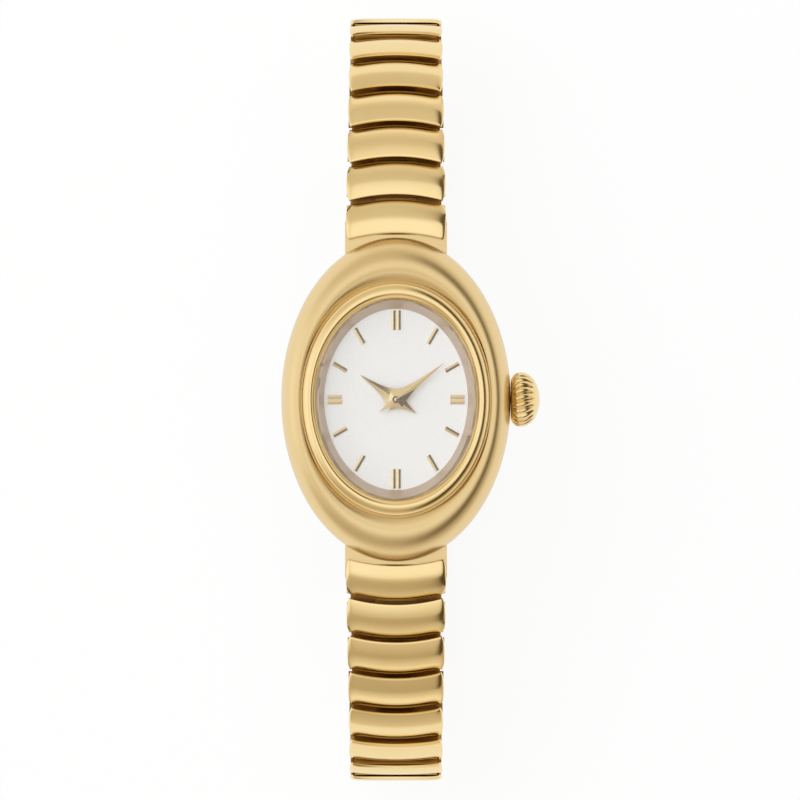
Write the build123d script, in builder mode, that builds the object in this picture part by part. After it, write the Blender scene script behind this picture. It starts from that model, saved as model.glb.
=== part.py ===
from build123d import *
import os
from math import cos, degrees, pi, radians, sin, sqrt

os.makedirs("parts", exist_ok=True)

# Oval quartz dress watch on a closed expanding bracelet.
# Millimetres. X points to 3 o'clock, Y to 12 o'clock, Z out of the dial.
# The origin is the middle of the case back's flat outer face.

# Case
case_width = 18.7
case_length = 26.4
equator_height = 2.7
dome_rise = 2.75
crest_width = 16.45
crest_length = 21.7
dome_inner_angle = 125
dome_steps = 5
foot_height = 0.35
foot_width = 16.4
foot_length = 23.6
foot_steps = 3
cavity_width = 12.4
cavity_length = 15.6
dial_seat_width = 13.3
dial_seat_length = 16.5
seat_height = 4.7
running_clearance = 0.05

# Case back
back_width = 15.2
back_length = 19.2
back_plate = 0.8
back_plug = 0.15
back_chamfer = 0.25

# Bezel and crystal
bezel_width = 15.2
bezel_length = 18.95
bezel_skirt = 0.65
bezel_top = 6.05
bezel_shoulder_share = 0.85
bezel_shoulder_rise_share = 0.65
bezel_ridge_share = 0.3
bezel_lip = 0.3
crystal_width = 13.0
crystal_length = 16.15
crystal_base = 5.2
crystal_thickness = 0.65
crystal_chamfer = 0.15

# Dial, sloping dial ring and markers
dial_width = 13.0
dial_length = 16.2
dial_base = 3.75
dial_thickness = 0.25
dial_hole = 1.5
ring_opening_width = 11.65
ring_opening_length = 14.7
ring_top_opening_width = 12.7
ring_top_opening_length = 15.75
marker_outer_width = 11.1
marker_outer_length = 14.45
marker_inner_width = 8.8
marker_inner_length = 11.3
marker_bar = 0.3
marker_gap = 0.12
marker_height = 0.15
hours = 12
quarter_hours = 3

# Hands, with the time that the dial shows
shown_minute = 8.8
shown_hour = 10 + 8.8 / 60
minutes = 60
minute_reach = 4.97
minute_tail = 1.72
minute_hand_width = 0.66
minute_hand_base = 4.78
hour_reach = 3.58
hour_tail = 2.03
hour_hand_width = 0.8
hour_hand_base = 4.42
hand_thickness = 0.14
waist_share = 0.12
minute_boss = 0.4
hour_boss = 0.6

# Motion works, which turn the hour hand once for twelve turns of the minute hand
plate_top = 3.1
cannon_teeth = 8
minute_wheel_teeth = 24
minute_pinion_teeth = 6
hour_wheel_teeth = 24
works_distance = 1.76
works_angle = 205
tooth_depth_share = 1.0
wheel_thickness = 0.2
wheel_gap = 0.06
cannon_radius = 0.24
cannon_top = 5.02
pivot_radius = 0.12
pivot_depth = 0.8
hour_pipe_wall = 0.16
post_radius = 0.18

# Movement
movement_width = 12.2
movement_length = 15.4
movement_base = 1.0
cell_radius = 2.4
cell_thickness = 1.65
cell_x = -1.7
cell_y = 4.3
cell_rim = 0.25
coil_length = 6.0
coil_core = 0.5
coil_radius = 0.72
coil_y = -4.9
coil_end = 0.6

# Winding stem, its clutch pinion, lever and crown
stem_height = 2.25
stem_radius = 0.35
stem_square = 0.4
stem_inner_end = 1.9
square_length = 2.2
groove_place = 4.6
groove_length = 0.45
groove_depth = 0.13
clutch_radius = 0.62
clutch_length = 0.9
clutch_teeth = 8
lever_length = 1.7
lever_width = 0.7
lever_thickness = 0.2
lever_pin_radius = 0.14
crown_radius = 2.23
crown_start = 9.47
crown_length = 2.3
crown_cap = 0.42
crown_profile_shares = ((0, 0.74), (0.25, 0.95), (0.5, 1), (0.8, 0.93), (1, 0.8))
crown_cap_shares = ((0, 0.76), (0.6, 0.7), (1, 0.5))
flute_count = 20
flute_depth = 0.2
pull_travel = 0.8

# Lugs and spring bars
lug_width = 8.3
lug_face = 13.14
lug_root = 10.6
lug_top = 3.12
lug_bottom = 1.35
ear_thickness = 0.4
ear_radius = 0.42
ear_drop = 0.15
bar_radius = 0.14

# Bracelet: a row of outer links over a row of inner links set half a pitch along
link_pitch = 3.12
links_per_half = 20
first_gap = 13.3
path_height = 2.2
straight_run = 11.6
shoulder_radius = 29.0
shoulder_angle = 28
end_radius = 11.16
cover_length = 2.65
cover_width = 7.75
taper_width = 0.45
taper_links = 5
cover_base = 0.7
cover_edge = 0.12
cover_dome = 0.45
cover_arch = 0.6
arch_runs = 3
sleeve_base = 0.03
sleeve_length = 2.3
sleeve_shift = -0.25
tunnel_base = 0.13
tunnel_height = 0.5
tunnel_wall = 0.2
bow_thickness = 0.3
bow_overhang = 0.16
leg_size = 0.28
leg_length = 0.9
leg_rise = 0.38
near_leg = 0.0
far_leg = 0.5
closing_leg = 0.42
closing_room = 0.3
inner_base = -0.95
inner_height = 0.74
inner_length = 2.3
bridge_width = 3.4
wing_height = 0.32
bow_foot = 0.5
bar_place = -0.8

# Places that follow from the sizes above
first_pitch_radius = works_distance * cannon_teeth / (cannon_teeth + minute_wheel_teeth)
second_pitch_radius = works_distance * minute_pinion_teeth / (minute_pinion_teeth + hour_wheel_teeth)
works_x = works_distance * cos(radians(works_angle))
works_y = works_distance * sin(radians(works_angle))
first_level = plate_top + wheel_gap
second_level = first_level + wheel_thickness + wheel_gap
pipe_bore = cannon_radius + running_clearance
pipe_radius = pipe_bore + hour_pipe_wall
clutch_start = stem_inner_end + square_length / 2 - clutch_length / 2


def oval(width, length):
    """An oval outline, drawn in the sketch that is open."""
    return Ellipse(width / 2, length / 2)


def marker_reach(width, length, angle):
    """Distance from the middle to an oval, along a line turned from 12 o'clock."""
    half_width, half_length = width / 2, length / 2
    across, along = half_width * cos(angle), half_length * sin(angle)
    return half_width * half_length / sqrt(across**2 + along**2)


def path_place(distance, side):
    """Plane on the bracelet's middle line: x across, y along, z outwards."""
    end_angle = pi - 2 * radians(shoulder_angle)
    runs = (
        (straight_run, 0),
        (shoulder_radius * radians(shoulder_angle), radians(shoulder_angle)),
        (end_radius * end_angle, end_angle),
        (shoulder_radius * radians(shoulder_angle), radians(shoulder_angle)),
        (straight_run + link_pitch, 0),
    )
    y, z, slope, left = 0, path_height, 0, distance
    for length, turn in runs:
        share = min(max(left / length, 0), 1)
        if turn == 0:
            y += share * length * cos(slope)
            z -= share * length * sin(slope)
        else:
            radius = length / turn
            y += radius * (sin(slope + share * turn) - sin(slope))
            z -= radius * (cos(slope) - cos(slope + share * turn))
            slope += share * turn
        left -= length
    return Plane((0, side * y, z), x_dir=(side, 0, 0), z_dir=(0, side * sin(slope), cos(slope)))


def keep(piece, name):
    """Labels a finished piece and writes its file."""
    piece.part.label = name
    export_step(piece.part, f"parts/{name}.step")


first_link = path_place(first_gap + link_pitch / 2, 1)
bar_point = first_link.from_local_coords((0, bar_place, leg_rise))
bar_y, bar_height = bar_point.Y, bar_point.Z


def make_case_middle():
    """The puffed oval body, with a lug and two ears at each end."""
    side_width = (case_width - crest_width) / 2
    end_length = (case_length - crest_length) / 2
    depth = equator_height - foot_height
    with BuildPart() as case_middle:
        for step in range(dome_steps + 1):
            turn = radians(dome_inner_angle * step / dome_steps)
            with BuildSketch(Plane.XY.offset(equator_height + dome_rise * sin(turn))):
                oval(crest_width + 2 * side_width * cos(turn), crest_length + 2 * end_length * cos(turn))
        loft(ruled=True)
        for step in range(foot_steps + 1):
            turn = pi / 2 * step / foot_steps
            with BuildSketch(Plane.XY.offset(equator_height - depth * sin(turn))):
                oval(
                    foot_width + (case_width - foot_width) * cos(turn),
                    foot_length + (case_length - foot_length) * cos(turn),
                )
        loft(ruled=True)
        for side in (1, -1):
            with BuildSketch(Plane.XY.offset(lug_bottom)):
                with BuildLine():
                    corner = side * (lug_face - cover_arch)
                    Polyline(
                        (-lug_width / 2, corner),
                        (-lug_width / 2, side * lug_root),
                        (lug_width / 2, side * lug_root),
                        (lug_width / 2, corner),
                    )
                    ThreePointArc((lug_width / 2, corner), (0, side * lug_face), (-lug_width / 2, corner))
                make_face()
            extrude(amount=lug_top - lug_bottom)
            for hand in (1, -1):
                with BuildSketch(Plane.YZ.offset(hand * (lug_width / 2 - ear_thickness))):
                    with Locations((side * (lug_root + bar_y) / 2, bar_height - ear_drop)):
                        Rectangle(bar_y - lug_root, 2 * ear_radius)
                    with Locations((side * bar_y, bar_height - ear_drop)):
                        Circle(ear_radius)
                extrude(amount=hand * ear_thickness)
        with BuildSketch(Plane.XY.offset(foot_height)):
            oval(back_width + 2 * running_clearance, back_length + 2 * running_clearance)
        extrude(amount=back_plate - foot_height, mode=Mode.SUBTRACT)
        with BuildSketch(Plane.XY.offset(foot_height)):
            oval(cavity_width, cavity_length)
        extrude(amount=dial_base - foot_height, mode=Mode.SUBTRACT)
        with BuildSketch(Plane.XY.offset(dial_base)):
            oval(dial_seat_width, dial_seat_length)
        extrude(amount=seat_height - dial_base, mode=Mode.SUBTRACT)
        with BuildSketch(Plane.XY.offset(seat_height)):
            oval(bezel_width + 2 * running_clearance, bezel_length + 2 * running_clearance)
        extrude(amount=dome_rise, mode=Mode.SUBTRACT)
        with BuildSketch(Plane.YZ.offset(stem_inner_end)):
            with Locations((0, stem_height)):
                Circle(stem_radius + running_clearance)
        extrude(amount=case_width, mode=Mode.SUBTRACT)
        with BuildSketch(Plane.YZ.offset(-lug_width)):
            with Locations((bar_y, bar_height), (-bar_y, bar_height)):
                Circle(bar_radius + running_clearance)
        extrude(amount=2 * lug_width, mode=Mode.SUBTRACT)
    keep(case_middle, "case_middle")


def make_case_back():
    """Snap back: a flat plate with a low plug that fits the cavity."""
    with BuildPart() as case_back:
        with BuildSketch():
            oval(back_width, back_length)
        extrude(amount=back_plate)
        chamfer(case_back.faces().sort_by(Axis.Z)[0].edges(), back_chamfer)
        with BuildSketch(Plane.XY.offset(back_plate)):
            oval(cavity_width - 2 * running_clearance, cavity_length - 2 * running_clearance)
        extrude(amount=back_plug)
    keep(case_back, "case_back")


def make_bezel():
    """Polished ring: a wall in the case seat, a sloped crown and a lip round the crystal."""
    inner_width = crystal_width + 2 * running_clearance
    inner_length = crystal_length + 2 * running_clearance
    ridge_width = inner_width + bezel_ridge_share * (bezel_width - inner_width)
    ridge_length = inner_length + bezel_ridge_share * (bezel_length - inner_length)
    shoulder = seat_height + bezel_skirt
    with BuildPart() as bezel:
        with BuildSketch(Plane.XY.offset(seat_height)):
            oval(bezel_width, bezel_length)
        extrude(amount=bezel_skirt)
        with BuildSketch(Plane.XY.offset(shoulder)):
            oval(bezel_width, bezel_length)
        with BuildSketch(Plane.XY.offset(shoulder + bezel_shoulder_rise_share * (bezel_top - shoulder))):
            oval(
                inner_width + bezel_shoulder_share * (bezel_width - inner_width),
                inner_length + bezel_shoulder_share * (bezel_length - inner_length),
            )
        with BuildSketch(Plane.XY.offset(bezel_top)):
            oval(ridge_width, ridge_length)
        loft(ruled=True)
        with BuildSketch(Plane.XY.offset(seat_height)):
            oval(inner_width, inner_length)
        extrude(amount=bezel_top - seat_height, mode=Mode.SUBTRACT)
        with BuildSketch(Plane.XY.offset(bezel_top - bezel_lip)):
            oval(inner_width, inner_length)
        with BuildSketch(Plane.XY.offset(bezel_top)):
            oval(ridge_width - bezel_lip, ridge_length - bezel_lip)
        loft(ruled=True, mode=Mode.SUBTRACT)
    keep(bezel, "bezel")


def make_crystal():
    """Flat mineral glass with an eased edge."""
    with BuildPart() as crystal:
        with BuildSketch(Plane.XY.offset(crystal_base)):
            oval(crystal_width, crystal_length)
        extrude(amount=crystal_thickness)
        chamfer(crystal.faces().sort_by(Axis.Z)[-1].edges(), crystal_chamfer)
    keep(crystal, "crystal")


def make_dial_ring():
    """Sloped ring between the dial and the crystal."""
    ring_base = dial_base + dial_thickness
    with BuildPart() as dial_ring:
        with BuildSketch(Plane.XY.offset(ring_base)):
            oval(dial_width, crystal_length)
        extrude(amount=crystal_base - ring_base)
        with BuildSketch(Plane.XY.offset(ring_base)):
            oval(ring_opening_width, ring_opening_length)
        with BuildSketch(Plane.XY.offset(crystal_base)):
            oval(ring_top_opening_width, ring_top_opening_length)
        loft(ruled=True, mode=Mode.SUBTRACT)
    keep(dial_ring, "dial_ring")


def make_dial():
    """Thin oval plate with a hole for the motion works."""
    with BuildPart() as dial:
        with BuildSketch(Plane.XY.offset(dial_base)):
            oval(dial_width, dial_length)
            Circle(dial_hole / 2, mode=Mode.SUBTRACT)
        extrude(amount=dial_thickness)
    keep(dial, "dial")


def make_hour_markers():
    """Applied bars: a pair at each quarter hour and one at each other hour."""
    dial_top = dial_base + dial_thickness
    with BuildPart() as hour_markers:
        for hour in range(hours):
            turn = 2 * pi * hour / hours
            outer = marker_reach(marker_outer_width, marker_outer_length, turn)
            inner = marker_reach(marker_inner_width, marker_inner_length, turn)
            double = hour % quarter_hours == 0
            places = (-0.5, 0.5) if double else (0,)
            with BuildSketch(Plane.XY.offset(dial_top).rotated((0, 0, -degrees(turn)))):
                for place in places:
                    with Locations((place * (marker_bar + marker_gap), (outer + inner) / 2)):
                        Rectangle(marker_bar, outer - inner)
            extrude(amount=marker_height)
    keep(hour_markers, "hour_markers")


def make_hand(name, reach, tail, width, base, turn, bore, boss_radius):
    """Faceted dauphine hand with a boss round its bore, turned clockwise from 12 o'clock."""
    place = Plane.XY.offset(base).rotated((0, 0, -turn))
    waist = waist_share * reach
    with BuildPart() as hand:
        with BuildSketch(place):
            with BuildLine():
                Polyline((0, reach), (width / 2, waist), (0, -tail), (-width / 2, waist), close=True)
            make_face()
            Circle(boss_radius)
            Circle(bore, mode=Mode.SUBTRACT)
        extrude(amount=hand_thickness)
    keep(hand, name)


def gear_sketch(teeth, pitch_radius, bore):
    """Pointed teeth round a pitch circle, drawn in the sketch that is open."""
    module = 2 * pitch_radius / teeth
    points = []
    for tooth in range(teeth):
        for part_turn, radius in (
            (0, pitch_radius + tooth_depth_share * module / 2),
            (0.5, pitch_radius - tooth_depth_share * module / 2),
        ):
            turn = 2 * pi * (tooth + part_turn) / teeth
            points.append((radius * cos(turn), radius * sin(turn)))
    Polygon(*points, align=None)
    if bore:
        Circle(bore, mode=Mode.SUBTRACT)


def make_cannon_pinion():
    """Friction-driven pinion whose pipe carries the minute hand."""
    with BuildPart() as cannon_pinion:
        with BuildSketch(Plane.XY.offset(first_level).rotated((0, 0, works_angle))):
            gear_sketch(cannon_teeth, first_pitch_radius, 0)
        extrude(amount=wheel_thickness)
        with BuildSketch(Plane.XY.offset(first_level)):
            Circle(cannon_radius)
        extrude(amount=cannon_top - first_level)
        with BuildSketch(Plane.XY.offset(first_level)):
            Circle(pivot_radius)
        extrude(amount=-pivot_depth)
    keep(cannon_pinion, "cannon_pinion")


def make_minute_wheel():
    """Wheel driven by the cannon pinion, with the small pinion that drives the hour wheel."""
    place = Plane((works_x, works_y, first_level))
    mesh_turn = works_angle + degrees(pi) + degrees(pi / minute_wheel_teeth)
    upper_turn = works_angle + degrees(pi)
    with BuildPart() as minute_wheel:
        with BuildSketch(place.rotated((0, 0, mesh_turn))):
            gear_sketch(minute_wheel_teeth, works_distance - first_pitch_radius, post_radius + running_clearance)
        extrude(amount=wheel_thickness)
        with BuildSketch(place.offset(wheel_thickness).rotated((0, 0, upper_turn))):
            gear_sketch(minute_pinion_teeth, second_pitch_radius, post_radius + running_clearance)
        extrude(amount=wheel_thickness + 2 * wheel_gap)
    keep(minute_wheel, "minute_wheel")


def make_hour_wheel():
    """Wheel on a pipe round the cannon pinion, which carries the hour hand."""
    half_tooth = degrees(pi / hour_wheel_teeth)
    with BuildPart() as hour_wheel:
        with BuildSketch(Plane.XY.offset(second_level).rotated((0, 0, works_angle + half_tooth))):
            gear_sketch(hour_wheel_teeth, works_distance - second_pitch_radius, pipe_bore)
        extrude(amount=wheel_thickness)
        with BuildSketch(Plane.XY.offset(second_level)):
            Circle(pipe_radius)
            Circle(pipe_bore, mode=Mode.SUBTRACT)
        extrude(amount=hour_hand_base + hand_thickness - second_level)
    keep(hour_wheel, "hour_wheel")


def make_main_plate():
    """Movement plate with pockets for the cell and coil, a stem bore and the wheel posts."""
    with BuildPart() as main_plate:
        with BuildSketch(Plane.XY.offset(movement_base)):
            oval(movement_width, movement_length)
        extrude(amount=plate_top - movement_base)
        with BuildSketch(Plane.XY.offset(movement_base)):
            with Locations((cell_x, cell_y)):
                Circle(cell_radius + running_clearance)
            with Locations((0, coil_y)):
                Rectangle(coil_length + 2 * running_clearance, 2 * (coil_radius + running_clearance))
        extrude(amount=cell_thickness + running_clearance, mode=Mode.SUBTRACT)
        with BuildSketch(Plane.XY.offset(plate_top)):
            Circle(pivot_radius + running_clearance)
        extrude(amount=-pivot_depth, mode=Mode.SUBTRACT)
        with BuildSketch(Plane.YZ.offset(stem_inner_end - running_clearance)):
            with Locations((0, stem_height)):
                Circle(stem_radius + running_clearance)
        extrude(amount=movement_width, mode=Mode.SUBTRACT)
        with BuildSketch(Plane.YZ.offset(clutch_start - running_clearance)):
            with Locations((0, stem_height)):
                Circle(clutch_radius + running_clearance)
        extrude(amount=clutch_length + 2 * running_clearance, mode=Mode.SUBTRACT)
        with BuildSketch(Plane.XY.offset(stem_height)):
            with Locations((groove_place + pull_travel / 2, 0)):
                SlotOverall(
                    pull_travel + groove_length + 2 * stem_radius,
                    2 * stem_radius,
                )
        extrude(amount=plate_top, mode=Mode.SUBTRACT)
        with BuildSketch(Plane.XY.offset(plate_top)):
            with Locations((works_x, works_y)):
                Circle(post_radius)
        extrude(amount=second_level + wheel_thickness - plate_top)
    keep(main_plate, "main_plate")


def make_button_cell():
    """Silver oxide cell: a can with a narrower cap."""
    with BuildPart() as button_cell:
        with BuildSketch(Plane.XY.offset(movement_base)):
            with Locations((cell_x, cell_y)):
                Circle(cell_radius)
        extrude(amount=cell_thickness - cell_rim)
        with BuildSketch(Plane.XY.offset(movement_base + cell_thickness - cell_rim)):
            with Locations((cell_x, cell_y)):
                Circle(cell_radius - cell_rim)
        extrude(amount=cell_rim)
    keep(button_cell, "button_cell")


def make_drive_coil():
    """Stepping motor coil: a winding between two end tabs."""
    height = movement_base + coil_radius
    with BuildPart() as drive_coil:
        with BuildSketch(Plane.YZ.offset(coil_end - coil_length / 2)):
            with Locations((coil_y, height)):
                Circle(coil_radius)
        extrude(amount=coil_length - 2 * coil_end)
        for side in (-1, 1):
            with BuildSketch(Plane.YZ.offset(side * (coil_length / 2 - coil_end / 2))):
                with Locations((coil_y, height)):
                    Rectangle(2 * coil_radius, 2 * coil_core)
            extrude(amount=coil_end / 2, both=True)
    keep(drive_coil, "drive_coil")


def make_stem():
    """Winding stem: a square end for the clutch, a groove for the lever and a thread end."""
    stem_end = crown_start + crown_length / 2
    with BuildPart() as winding_stem:
        with BuildSketch(Plane.YZ.offset(stem_inner_end)):
            with Locations((0, stem_height)):
                Rectangle(stem_square, stem_square)
        extrude(amount=square_length)
        with BuildSketch(Plane.YZ.offset(stem_inner_end + square_length)):
            with Locations((0, stem_height)):
                Circle(stem_radius)
        extrude(amount=stem_end - stem_inner_end - square_length)
        with BuildSketch(Plane.YZ.offset(groove_place - groove_length / 2)):
            with Locations((0, stem_height)):
                Circle(stem_radius)
                Circle(stem_radius - groove_depth, mode=Mode.SUBTRACT)
        extrude(amount=groove_length, mode=Mode.SUBTRACT)
    keep(winding_stem, "winding_stem")


def make_clutch():
    """Clutch pinion, turned by the square of the stem that slides through it."""
    with BuildPart() as clutch_pinion:
        with BuildSketch(Plane((clutch_start, 0, stem_height), x_dir=(0, 1, 0), z_dir=(1, 0, 0))):
            gear_sketch(clutch_teeth, clutch_radius * clutch_teeth / (clutch_teeth + 1), 0)
            Rectangle(stem_square + 2 * running_clearance, stem_square + 2 * running_clearance, mode=Mode.SUBTRACT)
        extrude(amount=clutch_length)
    keep(clutch_pinion, "clutch_pinion")


def make_setting_lever():
    """Lever on the plate, with a pin down into the groove of the stem."""
    base = plate_top + wheel_gap
    with BuildPart() as setting_lever:
        with BuildSketch(Plane.XY.offset(base)):
            with Locations((groove_place, -lever_length / 2)):
                SlotCenterToCenter(lever_length, lever_width, rotation=90)
        extrude(amount=lever_thickness)
        with BuildSketch(Plane.XY.offset(base)):
            with Locations((groove_place, 0)):
                Circle(lever_pin_radius)
        pin_end = stem_height + stem_radius - groove_depth + running_clearance
        extrude(amount=pin_end - base)
    keep(setting_lever, "setting_lever")


def ridge_points(radius):
    """Points round a crown section: a ridge, then a groove, in turn."""
    points = []
    for corner in range(2 * flute_count):
        turn = pi * corner / flute_count
        reach = radius - flute_depth * (corner % 2)
        points.append((reach * cos(turn), reach * sin(turn)))
    return points


def make_crown():
    """Onion-shaped crown: a bulged barrel of ridges with a plain cap, bored for the stem."""
    barrel = crown_length - crown_cap
    with BuildPart() as crown:
        for length_share, radius_share in crown_profile_shares:
            with BuildSketch(Plane.YZ.offset(crown_start + length_share * barrel)):
                with Locations((0, stem_height)):
                    Polygon(*ridge_points(radius_share * crown_radius), align=None)
        loft(ruled=True)
        for length_share, radius_share in crown_cap_shares:
            with BuildSketch(Plane.YZ.offset(crown_start + barrel + length_share * crown_cap)):
                with Locations((0, stem_height)):
                    Circle(radius_share * crown_radius)
        loft(ruled=True)
        with BuildSketch(Plane.YZ.offset(crown_start)):
            with Locations((0, stem_height)):
                Circle(stem_radius)
        extrude(amount=crown_length / 2, mode=Mode.SUBTRACT)
    keep(crown, "crown")


def make_spring_bars():
    """Two bars, each held by its ends in the ears of a lug."""
    with BuildPart() as spring_bars:
        with BuildSketch(Plane.YZ.offset(-lug_width / 2)):
            with Locations((bar_y, bar_height), (-bar_y, bar_height)):
                Circle(bar_radius)
        extrude(amount=lug_width)
    keep(spring_bars, "spring_bars")


def side_plane(place, offset=0):
    """Plane across a link's place: x along the bracelet, y outwards."""
    return Plane(place.origin + place.x_dir * offset, x_dir=place.y_dir, z_dir=place.x_dir)


def link_width(number):
    """Width of a cover: the links near the case are a little wider."""
    return cover_width + taper_width * max(0, taper_links - number) / (taper_links - 1)


def leg_point(place, along):
    """Middle of a bow's leg in the tunnel of the outer link at this place."""
    return place.from_local_coords((0, along, leg_rise))


def make_link(side, number):
    """One pitch of the bracelet: an outer link, and the inner link with its bows."""
    place = path_place(first_gap + (number - 0.5) * link_pitch, side)
    inner_place = path_place(first_gap + number * link_pitch, side)
    ahead_place = path_place(first_gap + (number + 0.5) * link_pitch, side)
    ahead_leg = near_leg
    if number == links_per_half:
        # the loop closes here, on the last outer link of the other half
        ahead_place = path_place(first_gap + (number - 0.5) * link_pitch, -side)
        ahead_leg = closing_leg
    width = link_width(number)
    sleeve_reach = sleeve_length
    if side < 0 and number == links_per_half:
        # room for the bows that close the loop
        sleeve_reach += closing_room
    sleeve_middle = sleeve_shift + (sleeve_reach - sleeve_length) / 2
    half_box = width / 2 - bow_thickness - bow_overhang
    bow_face = half_box + running_clearance
    chord = width / arch_runs
    chord_drop = cover_arch * (1 - 1 / arch_runs**2)
    cover_place = place.offset(cover_base)
    with BuildPart() as link:
        with BuildLine(cover_place) as spine:
            Polyline(
                (-1.5 * chord, -chord_drop),
                (-0.5 * chord, 0),
                (0.5 * chord, 0),
                (1.5 * chord, -chord_drop),
            )
        start = spine.line @ 0
        ahead = spine.line % 0
        with BuildSketch(Plane(start, x_dir=place.z_dir.cross(ahead), z_dir=ahead)):
            with BuildLine():
                Polyline(
                    (-cover_length / 2, cover_edge),
                    (-cover_length / 2, 0),
                    (cover_length / 2, 0),
                    (cover_length / 2, cover_edge),
                )
                ThreePointArc(
                    (cover_length / 2, cover_edge),
                    (0, cover_edge + cover_dome),
                    (-cover_length / 2, cover_edge),
                )
            make_face()
        sweep(path=spine.line, transition=Transition.RIGHT)
        with BuildSketch(place.offset(sleeve_base)):
            with Locations((0, sleeve_middle)):
                Rectangle(2 * half_box, sleeve_reach)
        extrude(amount=cover_base - sleeve_base)
        with BuildSketch(side_plane(place)):
            with Locations((sleeve_middle, tunnel_base + tunnel_height / 2)):
                Rectangle(sleeve_reach - 2 * tunnel_wall, tunnel_height)
        extrude(amount=width, both=True, mode=Mode.SUBTRACT)
        if side > 0 or number < links_per_half:
            with BuildSketch(Plane(inner_place.origin, x_dir=inner_place.x_dir, z_dir=-inner_place.y_dir)):
                with Locations((0, inner_base + wing_height / 2)):
                    Rectangle(2 * bow_face, wing_height)
                with Locations((0, inner_base + inner_height / 2)):
                    Rectangle(bridge_width, inner_height)
            extrude(amount=inner_length / 2, both=True)
            for leg_place, along, foot in ((place, far_leg, -bow_foot), (ahead_place, ahead_leg, bow_foot)):
                leg = inner_place.to_local_coords(leg_point(leg_place, along))
                half_leg = leg_size / 2
                for hand in (1, -1):
                    with BuildSketch(side_plane(inner_place, hand * bow_face)):
                        Polygon(
                            (foot - half_leg, inner_base),
                            (foot + half_leg, inner_base),
                            (leg.Y + half_leg, leg.Z + half_leg),
                            (leg.Y - half_leg, leg.Z + half_leg),
                            align=None,
                        )
                    extrude(amount=hand * bow_thickness)
                    with BuildSketch(side_plane(inner_place, hand * bow_face)):
                        with Locations((leg.Y, leg.Z)):
                            Rectangle(leg_size, leg_size)
                    extrude(amount=-hand * leg_length)
    keep(link, f"{'upper' if side > 0 else 'lower'}_link_{number:02d}")


make_case_middle()
make_case_back()
make_bezel()
make_crystal()
make_dial_ring()
make_dial()
make_hour_markers()
minute_turn = 360 * shown_minute / minutes
hour_turn = 360 * shown_hour / hours
make_hand(
    "minute_hand", minute_reach, minute_tail, minute_hand_width, minute_hand_base, minute_turn,
    cannon_radius, minute_boss,
)
make_hand(
    "hour_hand", hour_reach, hour_tail, hour_hand_width, hour_hand_base, hour_turn,
    pipe_radius, hour_boss,
)
make_cannon_pinion()
make_minute_wheel()
make_hour_wheel()
make_main_plate()
make_button_cell()
make_drive_coil()
make_stem()
make_clutch()
make_setting_lever()
make_crown()
make_spring_bars()
for half in (1, -1):
    for link_number in range(1, links_per_half + 1):
        make_link(half, link_number)
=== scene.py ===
"""Dresses the oval quartz watch: its smooth surfaces, finishes, studio and camera."""

import math

import bmesh
import bpy
from bpy.props import FloatProperty, FloatVectorProperty, IntProperty, PointerProperty
from mathutils import Matrix, Vector


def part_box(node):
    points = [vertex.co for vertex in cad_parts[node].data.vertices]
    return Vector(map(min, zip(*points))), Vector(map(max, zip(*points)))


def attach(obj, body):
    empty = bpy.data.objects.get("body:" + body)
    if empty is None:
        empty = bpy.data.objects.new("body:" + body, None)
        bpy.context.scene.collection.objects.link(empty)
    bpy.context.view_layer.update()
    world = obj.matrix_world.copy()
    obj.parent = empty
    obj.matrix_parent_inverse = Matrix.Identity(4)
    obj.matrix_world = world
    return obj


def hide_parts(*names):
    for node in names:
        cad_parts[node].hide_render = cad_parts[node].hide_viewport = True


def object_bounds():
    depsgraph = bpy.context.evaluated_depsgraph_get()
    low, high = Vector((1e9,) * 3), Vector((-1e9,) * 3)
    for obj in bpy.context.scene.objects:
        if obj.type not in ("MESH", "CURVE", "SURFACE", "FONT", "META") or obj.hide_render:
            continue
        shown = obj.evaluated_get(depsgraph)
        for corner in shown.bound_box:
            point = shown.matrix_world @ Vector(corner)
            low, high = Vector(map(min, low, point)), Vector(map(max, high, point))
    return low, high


bl_info = {
    "name": "Oval expanding-bracelet watch",
    "version": (1, 0, 0),
    "blender": (4, 5, 0),
    "location": "View3D > Sidebar > Watch",
    "description": "Builds the pieces, finishes and studio of a small oval quartz watch",
    "category": "Object",
}

MM = 0.001

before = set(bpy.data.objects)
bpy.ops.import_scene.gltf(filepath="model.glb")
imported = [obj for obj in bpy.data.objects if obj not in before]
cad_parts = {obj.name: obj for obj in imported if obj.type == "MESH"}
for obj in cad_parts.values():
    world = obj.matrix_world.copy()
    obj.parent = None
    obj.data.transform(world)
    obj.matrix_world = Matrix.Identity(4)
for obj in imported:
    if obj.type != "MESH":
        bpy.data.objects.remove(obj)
cad_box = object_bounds()
HALVES = (("upper", 1), ("lower", -1))

# angles between faces over which an edge stays sharp
PLAIN_SHARP = math.radians(32)
CASE_SHARP = math.radians(50)
FACET_SHARP = math.radians(6)
CROWN_SHARP = math.radians(60)
COVER_SHARP = math.radians(40)
CARRIER_SHARP = math.radians(30)

# case: divisions and steepness of the fall from the crest to the bezel
GROOVE_STEPS = 8
GROOVE_FALL = 1.6
EAR_STEPS = 16

# bezel: divisions of its round, the share of the wall that the round takes,
# then (share of the wall, share of the lip's drop) down to the crystal
BEZEL_STEPS = 12
BEZEL_ROUND = 0.62
BEZEL_LIP = ((0.7, 0.03), (0.8, 0.2), (1, 1))
CRYSTAL_EASE = 3
CRYSTAL_MIDDLE = 0.5

# hands: height of the rim, divisions and hollow of each side, then the pin as
# (share of its radius, share of its height)
HAND_RIM = 0.12
HAND_STEPS = 6
HAND_HOLLOW = 1.15
PIN_PROFILE = ((1, 0), (1, 0.7), (0.85, 1), (0.6, 1), (0.5, 0.8), (0.5, 0))
PIN_SIDES = 48

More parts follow.
